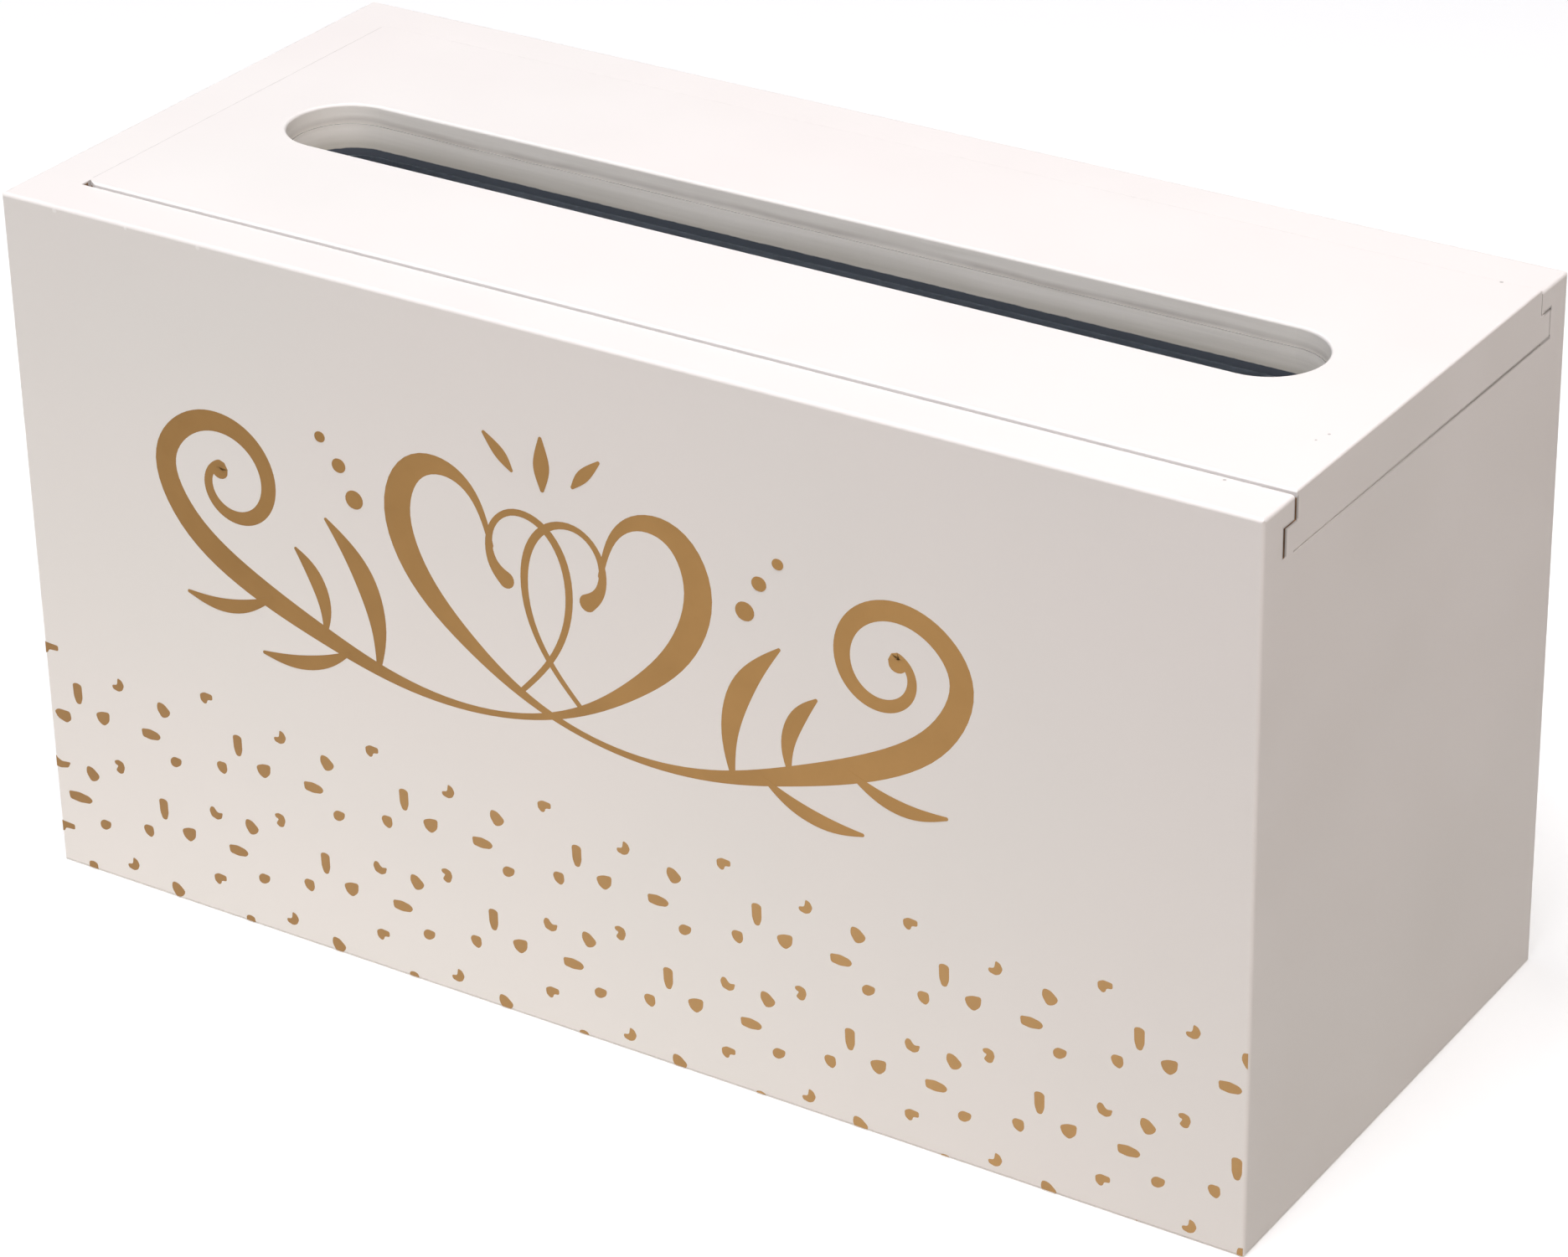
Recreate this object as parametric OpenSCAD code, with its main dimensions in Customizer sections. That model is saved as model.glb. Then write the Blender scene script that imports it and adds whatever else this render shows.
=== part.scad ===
// Wedding card box. A painted board box with a slotted lid that slides out at
// the right-hand end in stepped grooves. Millimetres.
//
// The origin is at the middle of the underside. +X runs along the front to the
// end where the lid comes out, +Y runs from the front to the back, +Z is up.

/* [Box] */
// Outside length, along the front
box_l = 300; // [220:1:420]
// Outside width, front to back
box_w = 130; // [100:1:220]
// Height of the front, back and closed-end boards
box_h = 162.5; // [110:0.5:260]
// Thickness of the front, back and end boards
board_t = 12; // [10:0.5:16]
// Rounding of the outer edges of the box
edge_r = 0.8; // [0.4:0.1:1.5]
// Thickness of the bottom board
bottom_t = 6; // [4:0.5:12]

/* [Lid] */
// Thickness of the lid board
lid_t = 12; // [10:0.5:15]
// Thickness of the tongue along three sides of the lid
tongue_t = 6; // [4:0.5:7.5]
// Depth of the grooves, which is also how far the tongue stands out
groove_d = 4.3; // [2:0.1:6]
// Height of the lid's top above the top edges of the box
lid_rise = 0.6; // [0.2:0.1:1.5]
// Gap between the lid and the front board
front_gap = 0.8; // [0.3:0.1:1.5]
// Gap between the lid and the back board, and at its closed end
back_gap = 0.3; // [0.2:0.1:1]
// Gap between the tongue and the roof of its groove
roof_gap = 0.4; // [0.2:0.1:1]
// Gap between the lid and the short end board under it
sill_gap = 0.4; // [0.2:0.1:1]
// Radius of the two upper corners at the lid's closed end
lid_corner_r = 3; // [1:0.5:6]
// Rounding of the lid's upper edges
lid_edge_r = 0.5; // [0.2:0.1:1]

/* [Slot] */
// Width of the card slot
slot_w = 25; // [16:0.5:40]
// Board left between the slot and the lid's outer end
outer_margin = 21.5; // [12:0.1:60]
// Board left between the slot and the lid's closed end
closed_margin = 16.2; // [12:0.1:60]
// Rounding of the slot's upper rim
rim_r = 0.6; // [0.2:0.1:1.2]
// Depth of the wider cut made from above
upper_cut = 4.6; // [2:0.1:8]
// Ledge left by the narrower cut below it
ledge = 0.25; // [0.1:0.05:0.6]

/* [Brads] */
// Length of a brad
brad_l = 30; // [20:1:36]
// Width of a brad's shank
shank_w = 1.25; // [1:0.05:1.6]
// Thickness of a brad
brad_t = 1; // [0.8:0.05:1.4]
// Width of a brad's head
head_w = 2; // [1.8:0.1:2.6]
// Depth of the filler over a brad's head
head_sink = 0.8; // [0.4:0.1:2]
// Distance from the ends of a joint to its first and last brads
brad_inset = 24; // [20:1:34]
// Brads up each corner
corner_rows = 3; // [2:1:5]
// Brads from the front, and from the back, into the bottom board
long_rows = 5; // [2:1:7]
// Brads from each end into the bottom board
short_rows = 2; // [2:1:3]

/* [Hidden] */
$fn = 64;
// How far a cutting shape runs past the face it cuts
cut = 1;
// Height of a brad's head, and length of its chisel point
head_h = 0.6;
tip_l = 1.5;

// Outside and inside faces of the walls, measured from the middle of the box.
half_l = box_l / 2;
half_w = box_w / 2;
wall_x = half_l - board_t;
wall_y = half_w - board_t;

lid_top = box_h + lid_rise;
lid_under = lid_top - lid_t;
tongue_top = lid_under + tongue_t;
groove_roof = tongue_top + roof_gap;
groove_end = -wall_x - groove_d;

lid_front = -wall_y + front_gap;
lid_back = wall_y - back_gap;
lid_left = -wall_x + back_gap;

slot_r = slot_w / 2;
slot_left = lid_left + closed_margin + slot_r;
slot_right = half_l - outer_margin - slot_r;
ledge_z = lid_top - upper_cut;

// ---- shared shapes ----------------------------------------------------------

// A rectangle from one corner to the opposite one, with all corners rounded.
module rounded_rect(low, high, r) {
    translate(low + [r, 0]) square(high - low - [2 * r, 0]);
    translate(low + [0, r]) square(high - low - [0, 2 * r]);
    for (x = [low.x + r, high.x - r], y = [low.y + r, high.y - r])
        translate([x, y]) circle(r);
}

// A block from one corner to the opposite one.
module block(low, high) {
    translate(low) cube(high - low);
}

// The whole outside of the box, as one block with all its edges rounded.
module box_envelope() {
    intersection() {
        linear_extrude(box_h)
            rounded_rect([-half_l, -half_w], [half_l, half_w], edge_r);
        translate([0, half_w, 0]) rotate([90, 0, 0]) linear_extrude(box_w)
            rounded_rect([-half_l, 0], [half_l, box_h], edge_r);
        translate([-half_l, 0, 0]) rotate([90, 0, 90]) linear_extrude(box_l)
            rounded_rect([-half_w, 0], [half_w, box_h], edge_r);
    }
}

// One board of the box, which shares the rounding of the whole box.
module board(low, high) {
    intersection() {
        block(low, high);
        box_envelope();
    }
}

// ---- brads ------------------------------------------------------------------

// A flat brad with its head at the origin and its point along +Y.
module brad() {
    side = [[head_w / 2, 0], [head_w / 2, head_h], [shank_w / 2, head_h],
            [shank_w / 2, brad_l - tip_l], [0, brad_l]];
    other_side = [for (i = [len(side) - 2:-1:0]) [-side[i].x, side[i].y]];
    linear_extrude(brad_t, center = true) polygon(concat(side, other_side));
}

// Evenly spaced places along a joint, from one end to the other.
function spaced(first, last, count) =
    [for (i = [0:count - 1]) first + (last - first) * i / (count - 1)];

// The brads through the front and back boards into the edges of the end boards.
module corner_brad_set() {
    middle = half_l - board_t / 2;
    for (turn = [0, 180], x = [-middle, middle],
         z = spaced(brad_inset, lid_under - brad_inset, corner_rows))
        rotate(turn) translate([x, -half_w + head_sink, z])
            rotate([0, 90, 0]) brad();
}

// The brads through all four walls into the edges of the bottom board.
module bottom_brad_set() {
    height = bottom_t / 2;
    reach_l = wall_x - brad_inset;
    reach_w = wall_y - brad_inset;
    for (turn = [0, 180], x = spaced(-reach_l, reach_l, long_rows))
        rotate(turn) translate([x, -half_w + head_sink, height]) brad();
    for (turn = [0, 180], y = spaced(-reach_w, reach_w, short_rows))
        rotate(turn) translate([-half_l + head_sink, y, height])
            rotate(-90) brad();
}

// ---- boards of the box ------------------------------------------------------

// The groove that the lid's tongue runs in, along the front board. It stops
// short of the closed end and runs out of the other.
module side_groove() {
    block([groove_end, -wall_y - groove_d, lid_under],
          [half_l + cut, -wall_y + cut, groove_roof]);
}

// A board along the front. The back board is its mirror image.
module long_board() {
    difference() {
        board([-half_l, -half_w, 0], [half_l, -wall_y, box_h]);
        side_groove();
        corner_brad_set();
        bottom_brad_set();
    }
}

module front_panel() {
    color("gainsboro") long_board();
}

module back_panel() {
    color("gainsboro") mirror([0, 1, 0]) long_board();
}

// The tall end, which closes the groove behind the lid.
module left_end_panel() {
    color("lightgray") difference() {
        board([-half_l, -wall_y, 0], [-wall_x, wall_y, box_h]);
        block([groove_end, -half_w, lid_under],
              [-wall_x + cut, half_w, groove_roof]);
        corner_brad_set();
        bottom_brad_set();
    }
}

// The short end, which the lid slides over.
module right_end_panel() {
    color("lightgray") difference() {
        board([wall_x, -wall_y, 0], [half_l, wall_y, lid_under - sill_gap]);
        corner_brad_set();
        bottom_brad_set();
    }
}

module bottom_panel() {
    color("slategray") difference() {
        block([-wall_x, -wall_y, 0], [wall_x, wall_y, bottom_t]);
        bottom_brad_set();
    }
}

// ---- lid --------------------------------------------------------------------

// Outline of the lid above its tongue: square at the outer end, with two
// rounded corners at the closed end.
module lid_outline() {
    r = lid_corner_r;
    translate([lid_left + r, lid_front])
        square([half_l - lid_left - r, lid_back - lid_front]);
    translate([lid_left, lid_front + r])
        square([r, lid_back - lid_front - 2 * r]);
    for (y = [lid_front + r, lid_back - r]) translate([lid_left + r, y]) circle(r);
}

// The lid board above the tongue, with its long and end edges eased.
module lid_upper() {
    height = lid_top - tongue_top;
    reach = lid_edge_r + cut;
    intersection() {
        translate([0, 0, tongue_top]) linear_extrude(height) lid_outline();
        translate([-half_l, 0, 0]) rotate([90, 0, 90]) linear_extrude(box_l)
            rounded_rect([lid_front, tongue_top - reach], [lid_back, lid_top],
                         lid_edge_r);
        translate([0, half_w, 0]) rotate([90, 0, 0]) linear_extrude(box_w)
            rounded_rect([lid_left, tongue_top - reach], [half_l, lid_top],
                         lid_edge_r);
    }
}

// The lower half of the lid, which stands out as a tongue on three sides.
module lid_tongue() {
    block([lid_left - groove_d, lid_front - groove_d, lid_under],
          [half_l, lid_back + groove_d, tongue_top]);
}

// Half of the slot's cross-section: distance from its middle line, and height.
module slot_section() {
    translate([0, lid_under - cut]) square([slot_r - ledge, lid_t + 2 * cut]);
    translate([0, ledge_z]) square([slot_r, upper_cut + cut]);
    difference() {
        translate([0, lid_top - rim_r]) square([slot_r + rim_r, rim_r + cut]);
        translate([slot_r + rim_r, lid_top - rim_r]) circle(rim_r);
    }
}

// The round-ended card slot, cut right through the lid.
module slot_cut() {
    for (x = [slot_left, slot_right])
        translate([x, 0, 0]) rotate_extrude() slot_section();
    translate([slot_left, 0, 0]) rotate([90, 0, 90])
        linear_extrude(slot_right - slot_left) {
            slot_section();
            mirror([1, 0]) slot_section();
        }
}

module lid() {
    color("white") difference() {
        union() {
            lid_upper();
            lid_tongue();
        }
        slot_cut();
    }
}

// ---- fasteners --------------------------------------------------------------

module corner_brads() {
    color("silver") corner_brad_set();
}

module bottom_brads() {
    color("silver") bottom_brad_set();
}

// ---- nodes ------------------------------------------------------------------

front_panel();
back_panel();
left_end_panel();
right_end_panel();
bottom_panel();
lid();
corner_brads();
bottom_brads();
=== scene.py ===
"""Looks of a wedding card box of painted boards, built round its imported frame.

The boards keep the frame's own meshes and get their paint and their bare grooves
from procedural finishes. The gold print on the front, which is a band of loose dabs
under a pair of linked hearts with scrolls, is drawn here with one pen. Lengths are
in metres and in the frame's axes, unless a name says _mm: X along the front, Y from
the front to the back, Z up.
"""

from __future__ import annotations

import logging
import math
from dataclasses import dataclass
from enum import Enum
from typing import Iterable, NamedTuple, Sequence

import bmesh
import bpy
from mathutils import Euler, Matrix, Vector

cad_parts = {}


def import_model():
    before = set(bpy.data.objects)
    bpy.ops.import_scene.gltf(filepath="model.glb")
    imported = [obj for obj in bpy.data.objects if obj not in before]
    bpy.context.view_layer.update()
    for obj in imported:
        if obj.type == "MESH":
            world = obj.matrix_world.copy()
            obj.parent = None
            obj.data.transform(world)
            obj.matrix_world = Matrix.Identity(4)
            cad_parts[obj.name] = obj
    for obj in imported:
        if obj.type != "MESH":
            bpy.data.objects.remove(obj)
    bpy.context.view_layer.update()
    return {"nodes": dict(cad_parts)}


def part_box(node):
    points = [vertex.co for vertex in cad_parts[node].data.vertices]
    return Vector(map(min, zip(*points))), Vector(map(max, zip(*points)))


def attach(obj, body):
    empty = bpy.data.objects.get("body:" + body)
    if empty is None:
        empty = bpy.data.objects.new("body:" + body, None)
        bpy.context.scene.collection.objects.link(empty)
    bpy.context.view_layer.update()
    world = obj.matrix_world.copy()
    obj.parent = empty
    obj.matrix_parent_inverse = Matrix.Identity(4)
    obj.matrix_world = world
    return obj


log = logging.getLogger("card_box")

MM = 0.001

Colour = tuple[float, float, float]
Range = tuple[float, float]
Socket = bpy.types.NodeSocket

# Places of a Mix node's two colours among its inputs, and of the mixture among its outputs.
FIRST_COLOUR, SECOND_COLOUR, MIXTURE = 6, 7, 2


# ---- node trees ----


@dataclass(frozen=True)
class Pattern:
    """A noise: lumps to the metre, octaves and weight of the finer noise, and factors on the axes.

    A small factor draws the lumps out. Where a range is read, its two ends give two other numbers.
    """

    scale: float
    detail: float = 2.0
    roughness: float = 0.5
    stretch: tuple[float, float, float] = (1.0, 1.0, 1.0)
    read: Range | None = None
    give: Range = (0.0, 1.0)


@dataclass(frozen=True)
class Reach:
    """How far a finish runs past its block, and half the width over which it fades."""

    past: float = 0.0
    fade: float = 0.05 * MM


class Tree:
    """The shader nodes of one material, with short ways to add and join them."""

    def __init__(self, name: str) -> None:
        """Starts an empty node tree in a new material called name."""
        self.material = bpy.data.materials.new(name)
        self.material.use_nodes = True
        self.nodes = self.material.node_tree.nodes
        self.links = self.material.node_tree.links
        self.nodes.clear()
        self.place = self.node("ShaderNodeTexCoord").outputs["Object"]

    def node(self, kind: str, **settings: object) -> bpy.types.Node:
        """Adds a node.

        Args:
            kind: The node's type name.
            **settings: Attributes to set on the node.

        Returns:
            The new node.
        """
        made = self.nodes.new(kind)
        for name, value in settings.items():
            setattr(made, name, value)
        return made

    def feed(self, socket: Socket, value: object) -> None:
        """Links value to a socket if it is a socket itself, and else sets it there."""
        if isinstance(value, Socket):
            self.links.new(value, socket)
        elif isinstance(value, (tuple, list)) and socket.type == "RGBA" and len(value) == 3:
            socket.default_value = (*value, 1.0)
        else:
            socket.default_value = value

    def along(self, axis: str) -> Socket:
        """The object's own place along one axis, X, Y or Z."""
        split = self.node("ShaderNodeSeparateXYZ")
        self.feed(split.inputs[0], self.place)
        return split.outputs[axis]

    def math(self, operation: str, *values: object, clamp: bool = False) -> Socket:
        """Joins numbers by one arithmetic operation.

        Args:
            operation: The Math node's operation.
            *values: Numbers or sockets, in order.
            clamp: Whether the result is held between 0 and 1.

        Returns:
            The socket that holds the result.
        """
        made = self.node("ShaderNodeMath", operation=operation, use_clamp=clamp)
        for socket, value in zip(made.inputs, values):
            self.feed(socket, value)
        return made.outputs["Value"]

    def vector(self, operation: str, *values: object) -> Socket:
        """Joins vectors by one operation.

        Args:
            operation: The Vector Math node's operation.
            *values: Vectors or sockets, in order.

        Returns:
            The socket that holds the resulting vector.
        """
        made = self.node("ShaderNodeVectorMath", operation=operation)
        for socket, value in zip(made.inputs, values):
            self.feed(socket, value)
        return made.outputs["Vector"]

    def noise(self, pattern: Pattern) -> Socket:
        """Adds a noise pattern in the object's own place.

        Args:
            pattern: The pattern.

        Returns:
            The socket that holds what the pattern gives, or else the noise itself,
            about 0 to 1 and centred on 0.5.
        """
        made = self.node("ShaderNodeTexNoise")
        self.feed(made.inputs["Vector"], self.vector("MULTIPLY", self.place, pattern.stretch))
        made.inputs["Scale"].default_value = pattern.scale
        made.inputs["Detail"].default_value = pattern.detail
        made.inputs["Roughness"].default_value = pattern.roughness
        if pattern.read is None:
            return made.outputs["Fac"]
        return self.ramp(made.outputs["Fac"], *pattern.read, *pattern.give)

    def ramp(
        self, value: object, low: float, high: float, to_low: float = 0.0, to_high: float = 1.0
    ) -> Socket:
        """Maps a number from one range to another, and holds it inside.

        Args:
            value: The number or socket to map.
            low: Start of the range read.
            high: End of the range read.
            to_low: Result at the start.
            to_high: Result at the end.

        Returns:
            The socket that holds the result.
        """
        made = self.node("ShaderNodeMapRange", clamp=True)
        for socket, number in zip(made.inputs, (value, low, high, to_low, to_high)):
            self.feed(socket, number)
        return made.outputs["Result"]

    def mix(self, share: object, first: object, second: object) -> Socket:
        """Mixes two colours.

        Args:
            share: Share of the second colour, 0 to 1.
            first: The colour at 0.
            second: The colour at 1.

        Returns:
            The socket that holds the mixed colour.
        """
        made = self.node("ShaderNodeMix", data_type="RGBA")
        self.feed(made.inputs["Factor"], share)
        self.feed(made.inputs[FIRST_COLOUR], first)
        self.feed(made.inputs[SECOND_COLOUR], second)
        return made.outputs[MIXTURE]

    def strongest(self, marks: Iterable[object]) -> object:
        """The highest of several marks at each place."""
        highest: object = 0.0
        for mark in marks:
            highest = self.math("MAXIMUM", highest, mark)
        return highest

    def inside(self, place: object, space: Space, reach: Reach) -> Socket:
        """Marks what lies inside a block.

        Args:
            place: The vector to test.
            space: The block.
            reach: How far the mark runs past the block, and how it fades.

        Returns:
            The socket that holds 1 inside the block and 0 outside it.
        """
        past = self.vector("SUBTRACT", place, tuple(space.middle))
        past = self.vector("SUBTRACT", self.vector("ABSOLUTE", past), tuple(space.half))
        split = self.node("ShaderNodeSeparateXYZ")
        self.feed(split.inputs[0], past)
        furthest = self.math("MAXIMUM", split.outputs["X"], split.outputs["Y"])
        furthest = self.math("MAXIMUM", furthest, split.outputs["Z"])
        return self.ramp(furthest, reach.past - reach.fade, reach.past + reach.fade, 1.0, 0.0)

    def near(self, place: object, speck: Speck, fade: float = 0.2) -> Socket:
        """Marks a speck.

        Args:
            place: The vector to test.
            speck: The speck.
            fade: Share of its radius over which it fades, either way.

        Returns:
            The socket that holds 1 on the speck and 0 away from it.
        """
        made = self.node("ShaderNodeVectorMath", operation="DISTANCE")
        self.feed(made.inputs[0], place)
        self.feed(made.inputs[1], speck.at)
        rim = (speck.radius * (1 - fade), speck.radius * (1 + fade))
        return self.ramp(made.outputs["Value"], *rim, 1.0, 0.0)

    def shader(
        self, colour: object, roughness: object, bump: object, depth: float, **settings: float
    ) -> bpy.types.Node:
        """Adds a surface shader.

        Args:
            colour: Base colour.
            roughness: Roughness.
            bump: Height of the relief, 0 to 1.
            depth: Height in metres that 1 stands for.
            **settings: Values for further sockets, by their names with _ for a space.

        Returns:
            The shader's node.
        """
        relief = self.node("ShaderNodeBump")
        self.feed(relief.inputs["Height"], bump)
        relief.inputs["Distance"].default_value = depth
        shader = self.node("ShaderNodeBsdfPrincipled")
        self.feed(shader.inputs["Base Color"], colour)
        self.feed(shader.inputs["Roughness"], roughness)
        self.feed(shader.inputs["Normal"], relief.outputs["Normal"])
        for name, value in settings.items():
            shader.inputs[name.replace("_", " ")].default_value = value
        return shader

    def finish(self, surface: bpy.types.Node) -> bpy.types.Material:
        """Ends the tree with what its surface shows, and returns the finished material."""
        end = self.node("ShaderNodeOutputMaterial")
        self.feed(end.inputs["Surface"], surface.outputs[0])
        return self.material


# ---- places ----


@dataclass(frozen=True)
class Space:
    """A block in the frame's axes, from its lowest to its highest corner."""

    low: Vector
    high: Vector

    @property
    def middle(self) -> Vector:
        """The block's centre."""
        return (self.low + self.high) / 2

    @property
    def half(self) -> Vector:
        """Half of the block's size."""
        return (self.high - self.low) / 2

    @classmethod
    def of(cls, node: str) -> Space:
        """The block that a node of the frame fills at rest."""
        low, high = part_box(node)
        return cls(Vector(low), Vector(high))


@dataclass(frozen=True)
class BoxPlan:
    """Where the box's parts lie, worked out from the nodes of the frame.

    The slot's margins lie under and over it, the rim's size is its width and depth, and
    the gap's sides are how far it reaches onto the front board and the lid.
    """

    front: Space
    back: Space
    left: Space
    right: Space
    bottom: Space
    lid: Space
    tongue_t: float = 6 * MM
    roof_gap: float = 0.4 * MM
    groove_d: float = 4.3 * MM
    lid_corner_r: float = 3 * MM
    slit_length: float = 6 * MM
    mouth_length: float = 5.5 * MM
    slit_depth: float = 0.9 * MM
    nick_size: tuple[float, float, float] = (2 * MM, 2 * MM, 4.6 * MM)
    slot_w: float = 25 * MM
    slot_ends: Range = (-121.5 * MM, 128.5 * MM)
    slot_margins: Range = (0.5 * MM, 0.8 * MM)
    ledge_depth: float = 4.6 * MM
    shaded_foot_height: float = 1.5 * MM
    rim_size: Range = (0.45 * MM, 0.5 * MM)
    gap_sides: Range = (0.1 * MM, 0.2 * MM)
    seam_shade_width: float = 0.35 * MM

    @classmethod
    def from_frame(cls) -> BoxPlan:
        """Reads the boards' places from the frame."""
        names = ("front_panel", "back_panel", "left_end_panel", "right_end_panel", "bottom_panel")
        return cls(*(Space.of(name) for name in names), Space.of("lid"))

    def on_end(self, y: Range, z: Range) -> Space:
        """A flat block on the outer end of the box, with its stretches along Y and Z."""
        end = self.right.high.x
        return Space(Vector((end, y[0], z[0])), Vector((end, y[1], z[1])))

    def in_slot(self, z: Range) -> Space:
        """The block that the card slot fills between two heights."""
        low, high = self.slot_ends
        return Space(Vector((low, -self.slot_w / 2, z[0])), Vector((high, self.slot_w / 2, z[1])))

    @property
    def chamber(self) -> Space:
        """The hollow that holds the cards, up to the underside of the lid."""
        return Space(
            Vector((self.left.high.x, self.front.high.y, self.bottom.high.z)),
            Vector((self.right.low.x, self.back.low.y, self.lid.low.z)),
        )

    @property
    def grooves(self) -> Space:
        """The block that the lid's tongue and its grooves fill, where paint never reached."""
        depth = Vector((self.groove_d, self.groove_d, 0))
        low = Vector((self.left.high.x, self.front.high.y, self.lid.low.z)) - depth
        top = self.lid.low.z + self.tongue_t + self.roof_gap
        return Space(low, Vector((self.right.high.x, self.back.low.y + self.groove_d, top)))

    @property
    def end_slit(self) -> Space:
        """The outer end of the gap between the lid and the front board, above the groove."""
        end = self.right.high.x
        return Space(
            Vector((end - self.slit_length, self.front.high.y, self.grooves.high.z)),
            Vector((end, self.lid.low.y + self.groove_d, self.front.high.z - self.slit_depth)),
        )

    @property
    def sill_line(self) -> Space:
        """The gap between the lid and the short end board under it."""
        return self.on_end((self.front.high.y, self.grooves.high.y), (self.right.high.z, self.lid.low.z))

    @property
    def filled_gap(self) -> Space:
        """The mouth of the groove in the back board, where paint got in."""
        end = self.right.high.x
        low = Vector((end - self.mouth_length, self.back.low.y, self.lid.low.z))
        return Space(low, Vector((end, self.grooves.high.y, self.grooves.high.z)))

    @property
    def corner_nick(self) -> Space:
        """The small hole beside the rounded front corner of the lid."""
        corner = Vector((self.left.high.x, self.front.high.y, self.grooves.high.z))
        return Space(corner, corner + Vector(self.nick_size))

    @property
    def end_seams(self) -> tuple[Space, ...]:
        """The lines round the lid's outer end, along which shade is painted dark."""
        slit, lid, depth = self.end_slit, self.lid.low, self.groove_d
        front, back = self.front.high.y, self.back.low.y
        roof = (slit.low.z - self.roof_gap, slit.low.z)
        return (
            self.on_end((front, slit.high.y + self.seam_shade_width), (slit.low.z, slit.high.z)),
            self.on_end((front - depth, lid.y + self.seam_shade_width), (lid.z + self.roof_gap, slit.low.z)),
            self.on_end((front - depth, slit.high.y), roof),
            self.on_end((back + depth / 3, back + depth), roof),
        )

    @property
    def front_gap(self) -> Space:
        """The two sides of the gap in front of the lid, down to the groove, where light is painted."""
        board, lid = self.gap_sides
        low = Vector((self.left.high.x, self.front.high.y - board, self.grooves.high.z))
        front = self.lid.low.y + self.groove_d
        return Space(low, Vector((self.right.high.x, front + lid, self.lid.high.z)))

    @property
    def lid_left_rim(self) -> Space:
        """The lid's upper edge at its closed end, where shade is painted."""
        left, top = self.lid.low.x + self.groove_d, self.lid.high.z
        width, depth = self.rim_size
        low = Vector((left, self.front.high.y + self.lid_corner_r, top - depth))
        return Space(low, Vector((left + width, self.back.low.y, top)))

    @property
    def lid_core(self) -> Space:
        """The block inside the lid's tongue, which reaches past the lid's outer end and faces."""
        depth = Vector((self.groove_d, self.groove_d, -MM))
        beyond = Vector((self.groove_d, -self.groove_d, MM))
        return Space(self.lid.low + depth, self.lid.high + beyond)

    @property
    def card_slot(self) -> Space:
        """The block that the card slot fills, between its rims."""
        under, over = self.slot_margins
        return self.in_slot((self.lid.low.z + under, self.lid.high.z - over))

    @property
    def slot_foot(self) -> Space:
        """The foot of the slot's wall, where shade is painted dark."""
        return self.in_slot((self.lid.low.z, self.lid.low.z + self.shaded_foot_height))

    @property
    def ledge_z(self) -> float:
        """Height of the small ledge on the slot's wall."""
        return self.lid.high.z - self.ledge_depth


# ---- finishes ----


@dataclass(frozen=True)
class Speck:
    """A small mark in the paint, with its radius."""

    at: tuple[float, float, float]
    radius: float


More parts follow.
